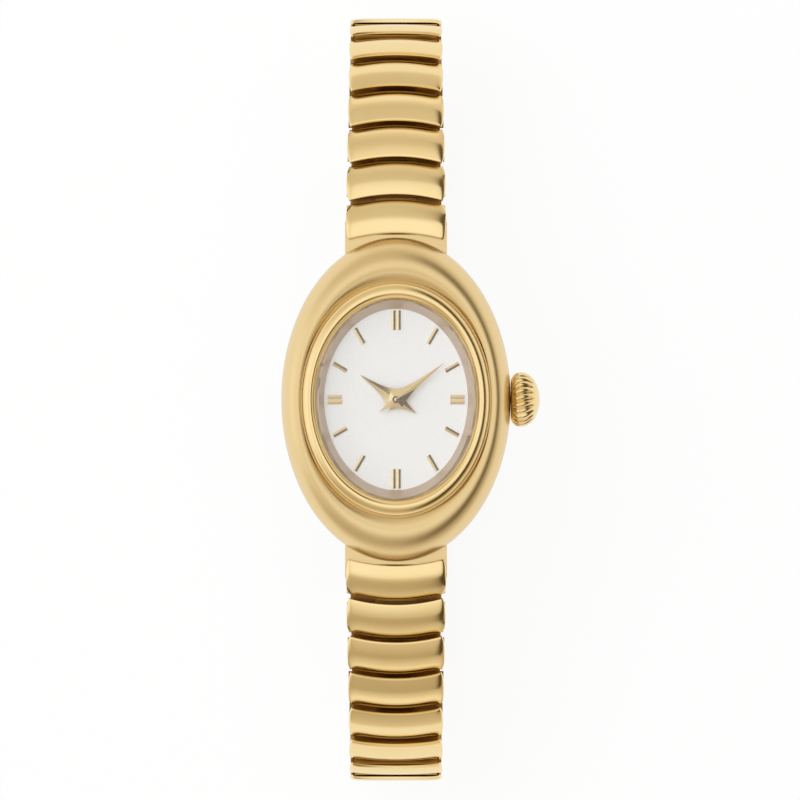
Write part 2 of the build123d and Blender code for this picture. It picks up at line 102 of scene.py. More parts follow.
# crown: (place along it, share of the full radius), an onion that closes in a low dome,
# then divisions of a ridge, where the ridges end and over how much they fade
CROWN_PROFILE = (
    (0, 0.72), (0.05, 0.82), (0.11, 0.9), (0.18, 0.96), (0.26, 0.99), (0.34, 1.0),
    (0.42, 0.995), (0.5, 0.975), (0.58, 0.94), (0.66, 0.885), (0.72, 0.83), (0.78, 0.77),
    (0.84, 0.69), (0.9, 0.58), (0.95, 0.45), (1, 0.26),
)
RIDGE_SIDES = 14
RIDGE_END = 0.8
RIDGE_FADE = 0.1

# cover: the grid that it starts from, how the columns crowd at its ends, the powers of
# its dome along and across, and (share, power) of the two parts of its waist
COVER_COLUMNS, COVER_ROWS = 40, 18
COVER_CROWDING = 1.7
DOME_ALONG = 1.7
DOME_ACROSS = 10
WAIST_PARTS = ((0.65, 2), (0.35, 8))
ROUND_SEGMENTS = 2

# studio: the soft fill lamp, in metres and watts
FILL_PLACE = (-0.12, 0.10, 0.55)
FILL_SIZE = 0.40
FILL_POWER = 1.5
FILL_COLOUR = "E6F1FF"


def linear(hex_colour):
    """A six-digit sRGB colour as linear red, green, blue and alpha."""
    parts = [int(hex_colour[i : i + 2], 16) / 255 for i in (0, 2, 4)]
    return (*[c / 12.92 if c <= 0.04045 else ((c + 0.055) / 1.055) ** 2.4 for c in parts], 1.0)


def length(name, description, millimetres):
    """A length property, with its default given in millimetres."""
    return FloatProperty(
        name=name, description=description, default=millimetres * MM, unit="LENGTH", precision=5
    )


def angle(name, description, degrees):
    """An angle property, with its default given in degrees."""
    return FloatProperty(
        name=name, description=description, default=math.radians(degrees), subtype="ANGLE"
    )


def count(name, description, value, least):
    """A whole-number property."""
    return IntProperty(name=name, description=description, default=value, min=least)


def plain(name, description, value):
    """A number without a unit."""
    return FloatProperty(name=name, description=description, default=value)


def colour(name, description, hex_colour):
    """A colour property, with its default given as an sRGB hex value."""
    return FloatVectorProperty(
        name=name, description=description, default=linear(hex_colour), size=4, subtype="COLOR", min=0, max=1
    )


class CaseSizes(bpy.types.PropertyGroup):
    """Sizes of the case, its lugs and its back."""

    width: length("Width", "Across the case at its widest level", 18.7)
    length: length("Length", "From 12 o'clock to 6 o'clock at the widest level", 26.4)
    equator: length("Widest level", "Height of the widest level over the case back", 2.7)
    rise: length("Dome rise", "Height of the crest over the widest level", 2.75)
    crest_width: length("Crest width", "Across the crest of the dome", 16.0)
    crest_length: length("Crest length", "Along the crest of the dome", 21.7)
    inner_angle: angle("Inner angle", "Where the dome ends at the bezel", 101)
    groove: length("Groove", "How far the dome falls from its crest to the bezel", 0.2)
    groove_gap: length("Groove gap", "Width of the groove round the bezel", 0.13)
    foot: length("Foot level", "Height of the case's lower rim", 0.35)
    foot_width: length("Foot width", "Across the lower rim", 16.4)
    foot_length: length("Foot length", "Along the lower rim", 23.6)
    seat: length("Bezel seat", "Height of the step that carries the bezel", 4.7)
    sides: count("Sides", "Divisions round the oval", 256, 32)
    rings: count("Rings", "Divisions over the dome", 28, 6)
    lug_width: length("Lug width", "Across each lug", 8.3)
    lug_root: length("Lug root", "Where a lug leaves the case", 10.6)
    lug_face: length("Lug face", "Where a lug ends", 13.43)
    lug_bottom: length("Lug bottom", "Height of a lug's lower face", 1.35)
    lug_top: length("Lug top", "Height of a lug's upper face", 2.8)
    ear_thickness: length("Ear thickness", "Thickness of each ear", 0.4)
    ear_radius: length("Ear radius", "Radius of each ear's round end", 0.42)
    ear_drop: length("Ear drop", "How far the ear's middle lies under the bar", 0.15)


class BezelSizes(bpy.types.PropertyGroup):
    """Sizes of the bezel and the crystal."""

    width: length("Width", "Across the bezel", 15.2)
    length: length("Length", "Along the bezel", 18.95)
    skirt: length("Skirt", "Height of the straight wall", 0.65)
    top: length("Top", "Height of the bezel's ridge", 6.05)
    lip: length("Lip", "Drop of the inner chamfer", 0.42)
    crystal_width: length("Crystal width", "Across the crystal", 13.0)
    crystal_length: length("Crystal length", "Along the crystal", 16.15)
    crystal_base: length("Crystal base", "Height of the crystal's lower face", 5.2)
    crystal_thickness: length("Crystal thickness", "Thickness of the glass", 0.65)
    clearance: length("Clearance", "Gap round a piece that is set in another", 0.05)


class DialSizes(bpy.types.PropertyGroup):
    """Sizes of the dial, its ring, markers and hands."""

    width: length("Width", "Across the dial", 13.0)
    length: length("Length", "Along the dial", 16.15)
    base: length("Base", "Height of the dial's lower face", 3.75)
    thickness: length("Thickness", "Thickness of the dial", 0.25)
    opening_width: length("Opening width", "Across the ring's opening at the dial", 11.65)
    opening_length: length("Opening length", "Along the ring's opening at the dial", 14.7)
    top_width: length("Top width", "Across the ring's opening under the crystal", 12.45)
    top_length: length("Top length", "Along the ring's opening under the crystal", 16.0)
    marker_outer_width: length("Marker outer width", "Oval of the markers' outer ends, across", 11.1)
    marker_outer_length: length("Marker outer length", "Oval of the markers' outer ends, along", 14.45)
    marker_inner_width: length("Marker inner width", "Oval of the markers' inner ends, across", 8.8)
    marker_inner_length: length("Marker inner length", "Oval of the markers' inner ends, along", 11.3)
    marker_bar: length("Marker bar", "Width of one bar", 0.33)
    marker_gap: length("Marker gap", "Gap between the bars of a pair", 0.09)
    marker_height: length("Marker height", "Height of a bar over the dial", 0.15)
    marker_slope: angle("Marker slope", "Slope of a bar's two facets", 18)
    shown_minute: plain("Minute", "Minute that the hands show", 8.8)
    shown_hour: plain("Hour", "Hour that the hands show", 10 + 8.8 / 60)
    minute_reach: length("Minute reach", "From the middle to the minute hand's tip", 4.97)
    minute_tail: length("Minute tail", "From the middle to the minute hand's tail", 1.72)
    minute_width: length("Minute width", "Across the minute hand at its middle", 1.56)
    minute_base: length("Minute base", "Height of the minute hand", 4.78)
    hour_reach: length("Hour reach", "From the middle to the hour hand's tip", 3.58)
    hour_tail: length("Hour tail", "From the middle to the hour hand's tail", 2.03)
    hour_width: length("Hour width", "Across the hour hand at its middle", 2.1)
    hour_base: length("Hour base", "Height of the hour hand", 4.42)
    minute_rise: length("Minute rise", "Height of the minute hand at its middle", 0.34)
    hour_rise: length("Hour rise", "Height of the hour hand at its middle", 0.32)
    hour_boss: length("Hour boss", "Radius of the hour hand's boss", 0.6)
    pin_radius: length("Pin radius", "Radius of the pipe that carries the minute hand", 0.3)
    pin_top: length("Pin top", "Height of the pipe's end", 5.08)


class CrownSizes(bpy.types.PropertyGroup):
    """Sizes of the crown."""

    radius: length("Radius", "Radius over the ridges", 2.23)
    start: length("Start", "Where the crown begins, from the middle of the watch", 9.36)
    length: length("Length", "Length of the crown", 2.33)
    height: length("Height", "Height of the stem over the case back", 2.25)
    ridges: count("Ridges", "Ridges round the crown", 22, 6)
    depth: length("Depth", "Depth of the grooves", 0.27)
    twist: angle("Twist", "Turn of a ridge along the crown", 14)


class BraceletSizes(bpy.types.PropertyGroup):
    """Sizes of the bracelet's path and links."""

    pitch: length("Pitch", "From one link to the next", 3.12)
    links: count("Links", "Links in each half", 20, 4)
    first_gap: length("First gap", "From the middle of the watch to the first link's edge", 13.3)
    height: length("Path height", "Height of the path at the case", 2.2)
    straight: length("Straight run", "Length of the straight run at the case", 11.6)
    shoulder_radius: length("Shoulder radius", "Radius of the path after the straight run", 29.0)
    shoulder_angle: angle("Shoulder angle", "Turn of the shoulder", 28)
    end_radius: length("End radius", "Radius of the path at the bracelet's end", 11.16)
    cover_length: length("Cover length", "Length of the first cover along the bracelet", 2.86)
    cover_growth: length("Cover growth", "Length that each further cover of the taper has more", 0.045)
    closing_cover: length("Closing cover", "Length of the last lower cover", 2.65)
    cover_width: length("Cover width", "Width of a cover", 7.75)
    taper: length("Taper", "Width that the first cover has more", 0.45)
    taper_links: count("Taper links", "Links over which the width falls", 5, 2)
    cover_base: length("Cover base", "Level of a cover's underside over the path", 0.7)
    cover_edge: length("Cover edge", "Height of a cover's straight edge", 0.22)
    cover_dome: length("Cover dome", "Height of a cover's dome over its edge", 0.28)
    cover_arch: length("Cover arch", "How far a cover's ends lie back towards the case", 0.52)
    cover_waist: length("Cover waist", "How much narrower a cover is at each long edge, on each side", 0.24)
    cover_round: length("Cover rounding", "Rounding of a cover's rim", 0.05)
    crest: plain("Crest", "Highest place of the dome, from -1 at the case to 1", -0.24)
    sleeve_base: length("Sleeve base", "Level of a sleeve's underside", 0.03)
    sleeve_length: length("Sleeve length", "Length of a sleeve along the bracelet", 2.3)
    sleeve_shift: length("Sleeve shift", "How far a sleeve lies from its cover's middle", -0.25)
    sleeve_wall: length("Sleeve wall", "Wall of a sleeve", 0.08)
    closing_room: length("Closing room", "Length that the last lower sleeve has more", 0.3)
    bow_thickness: length("Bow thickness", "Thickness of a bow", 0.3)
    bow_overhang: length("Bow overhang", "How far a cover hangs over the bows", 0.13)
    bow_size: length("Bow size", "Height and width of a bow's leg", 0.28)
    leg_length: length("Leg length", "Length of a leg inside the sleeve", 0.9)
    leg_rise: length("Leg rise", "Level of the legs over the path", 0.38)
    far_leg: length("Far leg", "Place of a link's own leg along its sleeve", 0.5)
    closing_leg: length("Closing leg", "Place of the legs that close the loop", 0.42)
    inner_base: length("Inner base", "Level of an inner link's underside", -0.95)
    inner_height: length("Inner height", "Height of an inner link's bridge", 0.74)
    inner_length: length("Inner length", "Length of an inner link", 2.3)
    bridge_width: length("Bridge width", "Width of an inner link's bridge", 3.4)
    wing_height: length("Wing height", "Height of an inner link's wings", 0.32)
    inner_round: length("Inner rounding", "Rounding of an inner link's bridge", 0.07)
    bow_foot: length("Bow foot", "Place of a bow's foot on the inner link", 0.5)
    bar_place: length("Bar place", "Place of the spring bar in the first sleeve", -0.8)
    clearance: length("Clearance", "Gap beside the sleeve", 0.05)


class FinishColours(bpy.types.PropertyGroup):
    """Colours of the finishes."""

    gold: colour("Polished gold", "Polished gold-toned plating", "F8E0AC")
    gold_deep: colour("Deep gold", "Gold-toned plating in its darker patches", "F1D69A")
    satin: colour("Satin gold", "Satin gold-toned plating of the case", "F0D8A4")
    satin_deep: colour("Deep satin gold", "Satin plating in its darker patches", "E8CC94")
    # drawn is darker than the plating itself: painted shade for the inner links seen in the gaps between the
    # covers
    drawn: colour("Drawn gold", "Unpolished plating of the inner links", "C49F5F")
    gilt: colour("Gilt", "Hands and markers", "F2DDAC")
    dial: colour("Dial", "White lacquer of the dial", "FBFBFA")
    dial_deep: colour("Deep dial", "White lacquer in its darker grain", "EFEFEE")
    ring: colour("Dial ring", "Taupe of the ring round the dial", "D0BBA4")
    ring_deep: colour("Deep dial ring", "Taupe in its darker grain", "BEA88F")
    glass: colour("Glass", "Mineral glass", "FFFFFF")
    steel: colour("Steel", "Bare stainless steel", "C2C0BC")
    steel_deep: colour("Deep steel", "Stainless steel in its darker grain", "A9A7A3")
    tool_steel: colour("Ground steel", "Stem, pinions and bars", "AEADAB")
    # a dark colour that is painted shade: it turns the pipe and its hollow into the dark eye in the middle
    # of the dial
    pipe_painted_shade: colour("Darkened steel", "Pipe that carries the minute hand", "6B625B")
    brass: colour("Brass", "Wheels of the motion works", "CDA85C")
    nickel: colour("Nickel", "Plating of the main plate", "B9B4A6")
    copper: colour("Copper", "Enamelled wire of the coil", "B5703A")
    # painted shade in the grooves between the wire's turns
    copper_deep: colour("Deep copper", "Enamelled wire between its turns", "8A4A22")
    floor: colour("Floor", "Floor of the studio", "FFFFFF")


class StageSizes(bpy.types.PropertyGroup):
    """Sizes of the studio and the camera."""

    camera_height: length("Camera height", "Height of the camera over the case back", 330.0)
    lens: plain("Lens", "Focal length in millimetres", 180.7)
    shift_x: plain("Shift X", "Sideways shift of the picture", 0.005)
    shift_y: plain("Shift Y", "Upward shift of the picture", -0.0006)
    floor_size: length("Floor size", "Side of the square floor", 2400.0)


class WatchSettings(bpy.types.PropertyGroup):
    """Everything about the watch that a user would change."""

    case: PointerProperty(type=CaseSizes)
    bezel: PointerProperty(type=BezelSizes)
    dial: PointerProperty(type=DialSizes)
    crown: PointerProperty(type=CrownSizes)
    bracelet: PointerProperty(type=BraceletSizes)
    colours: PointerProperty(type=FinishColours)
    stage: PointerProperty(type=StageSizes)


def add(tree, kind, settings=None, links=None):
    """Adds a node, sets its attributes and sockets, and links its inputs to (node, output) pairs."""
    node = tree.nodes.new(kind)
    for key, value in (settings or {}).items():
        if isinstance(key, str) and hasattr(node, key):
            setattr(node, key, value)
        else:
            node.inputs[key].default_value = value
    for key, (source, output) in (links or {}).items():
        tree.links.new(source.outputs[output], node.inputs[key])
    return node


# How each finish is made. base and deep are two of the colours, mixed by the tone's
# noise, or by the grain's where there is no tone. grain and tone are (size of the
# features in millimetres, detail). rough is the range of roughness. bump is (strength,
# depth in millimetres). stretch draws the grain out into lines.
FINISHES = {
    # ion plating on steel, buffed: near mirror, with faint buffing haze
    "gold_plated_steel_polished": {
        "base": "gold", "deep": "gold_deep", "tone": (6, 3), "grain": (0.5, 5),
        "rough": (0.13, 0.2), "bump": (0.04, 0.01),
    },
    # the same over satin grit of 0.06 mm, drawn a little coarser so that it shows
    "gold_plated_steel_satin": {
        "base": "satin", "deep": "satin_deep", "tone": (8, 3), "grain": (0.12, 4),
        "rough": (0.3, 0.38), "bump": (0.12, 0.006),
    },
    # plated spring steel as drawn: duller and darker than the buffed covers, duller as unpolished plating
    # and darker as painted shade in the gaps between the covers, where the inner links show
    "gold_plated_steel_drawn": {
        "base": "drawn", "stretch": (0.15, 1, 1), "grain": (0.1, 4),
        "rough": (0.25, 0.45), "bump": (0.2, 0.006),
    },
    # flat mirrors of the hands and markers, bright or dark by their tilt
    "gilt_brass_diamond_cut": {"base": "gilt", "grain": (0.2, 3), "rough": (0.06, 0.12)},
    # even white lacquer with a fine orange-peel
    "dial_lacquer_matte": {
        "base": "dial", "deep": "dial_deep", "grain": (0.15, 3), "rough": (0.55, 0.55),
        "bump": (0.05, 0.005), "sockets": {"Metallic": 0, "Specular IOR Level": 0.3},
    },
    # satin taupe paint with a little metal in it
    "dial_ring_metallic_paint": {
        "base": "ring", "deep": "ring_deep", "grain": (0.08, 2), "rough": (0.38, 0.38),
        "sockets": {"Metallic": 0.55},
    },
    # clear glass, which shows only as a faint sheen
    "mineral_glass_clear": {
        "base": "glass", "grain": (4, 2), "rough": (0.02, 0.05),
        "sockets": {"Metallic": 0, "Alpha": 0.05},
    },
    # straight brushed grain of the case back
    "stainless_steel_brushed": {
        "base": "steel", "deep": "steel_deep", "stretch": (1, 0.02, 1), "grain": (0.08, 5),
        "rough": (0.22, 0.4), "bump": (0.15, 0.005),
    },
    "hardened_steel_ground": {"base": "tool_steel", "grain": (0.1, 4), "rough": (0.2, 0.35)},
    # a small dark eye in the middle of the dial, whose dark colour is painted shade of the pipe's hollow
    "steel_pipe_painted_shade": {"base": "pipe_painted_shade", "grain": (0.08, 3), "rough": (0.22, 0.34)},
    "brass_as_cut": {"base": "brass", "grain": (0.12, 4), "rough": (0.22, 0.38)},
    "nickel_plated_brass_frosted": {
        "base": "nickel", "grain": (0.05, 3), "rough": (0.35, 0.5), "bump": (0.2, 0.004),
    },
    # turns of 0.1 mm, a few times the real wire, so that they show; the darker colour between the turns is
    # painted shade in their grooves
    "copper_wire_enamelled": {
        "base": "copper", "deep": "copper_deep", "grain": (0.63, 2), "wave": 0.2,
        "rough": (0.35, 0.35), "sockets": {"Metallic": 0.8},
    },
}


def new_material(name):
    """An empty node material and its tree."""
    material = bpy.data.materials.new(name)
    material.use_nodes = True
    material.node_tree.nodes.clear()
    return material, material.node_tree


def add_texture(tree, place, grain, wave=None):
    """Noise, or waves with some distortion, whose features are about the grain's size."""
    size, detail = grain
    settings = {"Scale": 1 / (size * MM), "Detail": detail}
    if wave is None:
        return add(tree, "ShaderNodeTexNoise", settings, {"Vector": place})
    return add(tree, "ShaderNodeTexWave", {**settings, "Distortion": wave}, {"Vector": place})


def make_finish(name, colours):
    """The named finish: its colour, roughness and relief follow a fine texture."""
    recipe = FINISHES[name]
    material, tree = new_material(name)
    where = (add(tree, "ShaderNodeTexCoord"), "Object")
    shader = add(tree, "ShaderNodeBsdfPrincipled", {"Metallic": 1, **recipe.get("sockets", {})})
    add(tree, "ShaderNodeOutputMaterial", None, {"Surface": (shader, "BSDF")})
    place = where
    if "stretch" in recipe:
        lines = add(tree, "ShaderNodeMapping", {"Scale": recipe["stretch"]}, {"Vector": where})
        place = (lines, "Vector")
    grain = add_texture(tree, place, recipe["grain"], recipe.get("wave"))
    base = getattr(colours, recipe["base"])
    if "deep" in recipe:
        tone = add_texture(tree, where, recipe["tone"]) if "tone" in recipe else grain
        tones = {"data_type": "RGBA", 6: base, 7: getattr(colours, recipe["deep"])}
        mix = add(tree, "ShaderNodeMix", tones, {"Factor": (tone, "Fac")})
        tree.links.new(mix.outputs[2], shader.inputs["Base Color"])
    else:
        shader.inputs["Base Color"].default_value = base
    low, high = recipe["rough"]
    shader.inputs["Roughness"].default_value = low
    if high > low:
        rough = add(
            tree, "ShaderNodeMapRange", {"To Min": low, "To Max": high}, {"Value": (grain, "Fac")}
        )
        tree.links.new(rough.outputs["Result"], shader.inputs["Roughness"])
    if "bump" in recipe:
        strength, depth = recipe["bump"]
        relief = {"Strength": strength, "Distance": depth * MM}
        bump = add(tree, "ShaderNodeBump", relief, {"Height": (grain, "Fac")})
        tree.links.new(bump.outputs["Normal"], shader.inputs["Normal"])
    return material


def studio_floor(colours):
    """White floor that stays white for the camera and in reflections, and keeps a soft shadow."""
    material, tree = new_material("studio_floor_white")
    path = add(tree, "ShaderNodeLightPath")
    larger = {"operation": "MAXIMUM"}
    eye = {0: (path, "Is Camera Ray"), 1: (path, "Is Glossy Ray")}
    seen = add(tree, "ShaderNodeMath", larger, eye)
    through = {0: (seen, "Value"), 1: (path, "Is Transmission Ray")}
    shown = add(tree, "ShaderNodeMath", larger, through)
    share = add(tree, "ShaderNodeMath", {"operation": "MULTIPLY", 1: 0.9}, {0: (shown, "Value")})
    matte = add(tree, "ShaderNodeBsdfDiffuse", {"Color": colours.floor})
    white = add(tree, "ShaderNodeEmission", {"Color": colours.floor, "Strength": 1.0})
    parts = {"Fac": (share, "Value"), 1: (matte, "BSDF"), 2: (white, "Emission")}
    mixed = add(tree, "ShaderNodeMixShader", None, parts)
    add(tree, "ShaderNodeOutputMaterial", None, {"Surface": (mixed, "Shader")})
    return material


def finish_of(name, settings):
    """The named material, made the first time that it is asked for."""
    return bpy.data.materials.get(name) or make_finish(name, settings.colours)


def settings_of(context):
    """The watch's settings in this scene."""
    return context.scene.watch_settings


def keep_piece(name, shape, material, body, nodes=(), sharp=PLAIN_SHARP):
    """Turns a finished bmesh into a smooth-shaded piece that rides on a body."""
    bmesh.ops.recalc_face_normals(shape, faces=shape.faces)
    mesh = bpy.data.meshes.new(name)
    shape.to_mesh(mesh)
    shape.free()
    mesh.polygons.foreach_set("use_smooth", [True] * len(mesh.polygons))
    mesh.set_sharp_from_angle(angle=sharp)
    mesh.materials.append(material)
    piece = bpy.data.objects.new(name, mesh)
    bpy.context.scene.collection.objects.link(piece)
    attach(piece, body)
    if nodes:
        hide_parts(*nodes)
    return piece


def dress_node(node, material):
    """Gives a carried-over CAD node its finish."""
    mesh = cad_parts[node].data
    mesh.materials.clear()
    mesh.materials.append(material)


def draw_oval(shape, rings, sides, closed):
    """Draws an oval through rings of (half width, half length, height), each extruded from the last."""
    half_width, half_length, height = rings[0]
    verts = bmesh.ops.create_circle(shape, cap_ends=False, radius=1, segments=sides)["verts"]
    bmesh.ops.scale(shape, vec=(half_width, half_length, 1), verts=verts)
    bmesh.ops.translate(shape, vec=(0, 0, height), verts=verts)
    first = edges = list({e for v in verts for e in v.link_edges})
    for ring in rings[1:]:
        drawn = bmesh.ops.extrude_edge_only(shape, edges=edges)["geom"]
        verts = [g for g in drawn if isinstance(g, bmesh.types.BMVert)]
        fresh = set(verts)
        edges = [g for g in drawn if isinstance(g, bmesh.types.BMEdge) and all(v in fresh for v in g.verts)]
        bmesh.ops.scale(shape, vec=(ring[0] / half_width, ring[1] / half_length, 1), verts=verts)
        bmesh.ops.translate(shape, vec=(0, 0, ring[2] - height), verts=verts)
        half_width, half_length, height = ring
    if closed:
        bmesh.ops.bridge_loops(shape, edges=first + edges)
    else:
        bmesh.ops.edgeloop_fill(shape, edges=first)
        bmesh.ops.edgeloop_fill(shape, edges=edges)


def draw_slab(shape, outline, axis_vector):
    """Draws a flat outline as one face and extrudes it along a vector."""
    face = shape.faces.new([shape.verts.new(point) for point in outline])
    drawn = bmesh.ops.extrude_face_region(shape, geom=[face])["geom"]
    verts = [g for g in drawn if isinstance(g, bmesh.types.BMVert)]
    bmesh.ops.translate(shape, vec=axis_vector, verts=verts)
    return verts


def round_edges(shape, edges, size, segments):
    """Bevels edges to a round."""
    bmesh.ops.bevel(
        shape, geom=edges, offset=size, segments=segments, profile=0.5, affect="EDGES",
        material=-1, clamp_overlap=True,
    )


def path_matrix(sizes, distance, side):
    """Place on the bracelet's middle line: x across, y along, z outwards."""
    end_angle = math.pi - 2 * sizes.shoulder_angle
    runs = (
        (sizes.straight, 0),
        (sizes.shoulder_radius * sizes.shoulder_angle, sizes.shoulder_angle),
        (sizes.end_radius * end_angle, end_angle),
        (sizes.shoulder_radius * sizes.shoulder_angle, sizes.shoulder_angle),
        (sizes.straight + sizes.pitch, 0),
    )
    y, z, slope, left = 0, sizes.height, 0, distance
    for run, turn in runs:
        share = min(max(left / run, 0), 1)
        if turn == 0:
            y += share * run * math.cos(slope)
            z -= share * run * math.sin(slope)
        else:
            radius = run / turn
            y += radius * (math.sin(slope + share * turn) - math.sin(slope))
            z -= radius * (math.cos(slope) - math.cos(slope + share * turn))
            slope += share * turn
        left -= run
    x_dir = Vector((side, 0, 0))
    z_dir = Vector((0, side * math.sin(slope), math.cos(slope)))
    y_dir = z_dir.cross(x_dir)
    place = Matrix((x_dir, y_dir, z_dir)).transposed().to_4x4()
    place.translation = Vector((0, side * y, z))
    return place


def link_place(sizes, number, side):
    """Place of an outer link, or of an inner link half a pitch on."""
    return path_matrix(sizes, sizes.first_gap + number * sizes.pitch, side)


class WATCH_OT_case(bpy.types.Operator):
    """Builds the puffed case with its lugs and ears."""

    bl_idname = "watch.case"
    bl_label = "Case"

    def execute(self, context):
        settings = settings_of(context)
        sizes = settings.case
        satin = finish_of("gold_plated_steel_satin", settings)
        gap = settings.bezel.clearance
        wide = settings.bezel.width / 2 + sizes.groove_gap
        long = settings.bezel.length / 2 + sizes.groove_gap
        rings = [(wide, long, sizes.seat)]
        crest_end = (
            sizes.crest_length / 2 + (sizes.length - sizes.crest_length) / 2 * math.cos(sizes.inner_angle),
            sizes.equator + sizes.rise * math.sin(sizes.inner_angle),
        )
        for step in range(GROOVE_STEPS):
            share = step / GROOVE_STEPS
            rings.append((
                wide,
                long + (crest_end[0] - long) * share,
                crest_end[1] - sizes.groove * (1 - share) ** GROOVE_FALL,
            ))
        for step in range(sizes.rings + 1):
            turn = sizes.inner_angle * (1 - step / sizes.rings)
            rings.append((
                sizes.crest_width / 2 + (sizes.width - sizes.crest_width) / 2 * math.cos(turn),
                sizes.crest_length / 2 + (sizes.length - sizes.crest_length) / 2 * math.cos(turn),
                sizes.equator + sizes.rise * math.sin(turn),
            ))
        for step in range(1, sizes.rings // 2 + 1):
            turn = math.pi / 2 * step / (sizes.rings // 2)
            rings.append((
                (sizes.foot_width + (sizes.width - sizes.foot_width) * math.cos(turn)) / 2,
                (sizes.foot_length + (sizes.length - sizes.foot_length) * math.cos(turn)) / 2,
                sizes.equator - (sizes.equator - sizes.foot) * math.sin(turn),
            ))
        _, back_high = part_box("case_back")
        rings.append((back_high.x + gap, back_high.y + gap, sizes.foot))
        rings.append((back_high.x + gap, back_high.y + gap, back_high.z))
        _, plate_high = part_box("main_plate")
        rings.append((plate_high.x + gap, plate_high.y + gap, back_high.z))
        rings.append((plate_high.x + gap, plate_high.y + gap, sizes.seat))
        shape = bmesh.new()
        draw_oval(shape, rings, sizes.sides, True)
        keep_piece("case_shell", shape, satin, "case", ["case_middle"], CASE_SHARP)
        self.add_lugs(settings, satin)
        return {"FINISHED"}

    def add_lugs(self, settings, material):
        """A block with a straight face and two ears at each end of the case."""
        sizes, bracelet = settings.case, settings.bracelet
        first = link_place(bracelet, 0.5, 1)
        bar = first @ Vector((0, bracelet.bar_place, bracelet.leg_rise))
        shape = bmesh.new()
        half = sizes.lug_width / 2
        for side in (1, -1):
            root, face = side * sizes.lug_root, side * sizes.lug_face
            corners = ((-half, root), (half, root), (half, face), (-half, face))
            outline = [(x, y, sizes.lug_bottom) for x, y in corners]
            draw_slab(shape, outline, (0, 0, sizes.lug_top - sizes.lug_bottom))
            middle = bar.z - sizes.ear_drop
            for hand in (1, -1):
                outline = [
                    (hand * half, side * sizes.lug_root, middle - sizes.ear_radius),
                    (hand * half, side * sizes.lug_root, middle + sizes.ear_radius),
                ]
                for step in range(EAR_STEPS + 1):
                    turn = math.pi * step / EAR_STEPS
                    outline.append((
                        hand * half,
                        side * (bar.y + sizes.ear_radius * math.sin(turn)),
                        middle + sizes.ear_radius * math.cos(turn),
                    ))
                draw_slab(shape, outline, (-hand * sizes.ear_thickness, 0, 0))
        keep_piece("case_lugs", shape, material, "case")


class WATCH_OT_bezel(bpy.types.Operator):
    """Builds the polished bezel and the crystal that it holds."""

    bl_idname = "watch.bezel"
    bl_label = "Bezel and crystal"

    def execute(self, context):
        settings = settings_of(context)
        sizes, case = settings.bezel, settings.case
        polished = finish_of("gold_plated_steel_polished", settings)
        glass = finish_of("mineral_glass_clear", settings)
        half_width, half_length = sizes.width / 2, sizes.length / 2
        inner_width = sizes.crystal_width / 2 + sizes.clearance
        inner_length = sizes.crystal_length / 2 + sizes.clearance
        walls = Vector((half_width - inner_width, half_length - inner_length))
        shoulder = case.seat + sizes.skirt
        crown = sizes.top - shoulder
        rings = [(half_width, half_length, case.seat)]
        for step in range(BEZEL_STEPS + 1):
            turn = math.pi / 2 * step / BEZEL_STEPS
            inset = BEZEL_ROUND * walls * (1 - math.cos(turn))
            rings.append((half_width - inset.x, half_length - inset.y, shoulder + crown * math.sin(turn)))
        for share, drop in BEZEL_LIP:
            inset = share * walls
            rings.append((half_width - inset.x, half_length - inset.y, sizes.top - drop * sizes.lip))
        rings.append((inner_width, inner_length, case.seat))
        shape = bmesh.new()
        draw_oval(shape, rings, case.sides, True)
        keep_piece("bezel_ring", shape, polished, "case", ["bezel"])
        top = sizes.crystal_base + sizes.crystal_thickness
        ease = CRYSTAL_EASE * sizes.clearance
        shape = bmesh.new()
        outer = (sizes.crystal_width / 2, sizes.crystal_length / 2)
        rings = [
            (*outer, sizes.crystal_base),
            (*outer, top - ease),
            (outer[0] - ease, outer[1] - ease, top),
            (outer[0] * CRYSTAL_MIDDLE, outer[1] * CRYSTAL_MIDDLE, top),
        ]
        draw_oval(shape, rings, case.sides, False)
        keep_piece("crystal_glass", shape, glass, "case", ["crystal"])
        return {"FINISHED"}


class WATCH_OT_dial(bpy.types.Operator):
    """Builds the dial and the sloping ring round it."""

    bl_idname = "watch.dial"
    bl_label = "Dial and ring"

    def execute(self, context):
        settings = settings_of(context)
        sizes, case = settings.dial, settings.case
        lacquer = finish_of("dial_lacquer_matte", settings)
        taupe = finish_of("dial_ring_metallic_paint", settings)
        top = sizes.base + sizes.thickness
        hole = sizes.hour_boss + sizes.marker_gap
        shape = bmesh.new()
        rings = [
            (sizes.width / 2, sizes.length / 2, sizes.base),
            (sizes.width / 2, sizes.length / 2, top),
            (hole, hole, top),
            (hole, hole, sizes.base),
        ]
        draw_oval(shape, rings, case.sides, True)
        keep_piece("dial_plate", shape, lacquer, "case", ["dial"])
        ceiling = settings.bezel.crystal_base
        shape = bmesh.new()
        rings = [
            (sizes.width / 2, sizes.length / 2, top),
            (sizes.opening_width / 2, sizes.opening_length / 2, top),
            (sizes.top_width / 2, sizes.top_length / 2, ceiling),
            (sizes.width / 2, sizes.length / 2, ceiling),
        ]
        draw_oval(shape, rings, case.sides, True)
        keep_piece("dial_surround", shape, taupe, "case", ["dial_ring"])
        return {"FINISHED"}


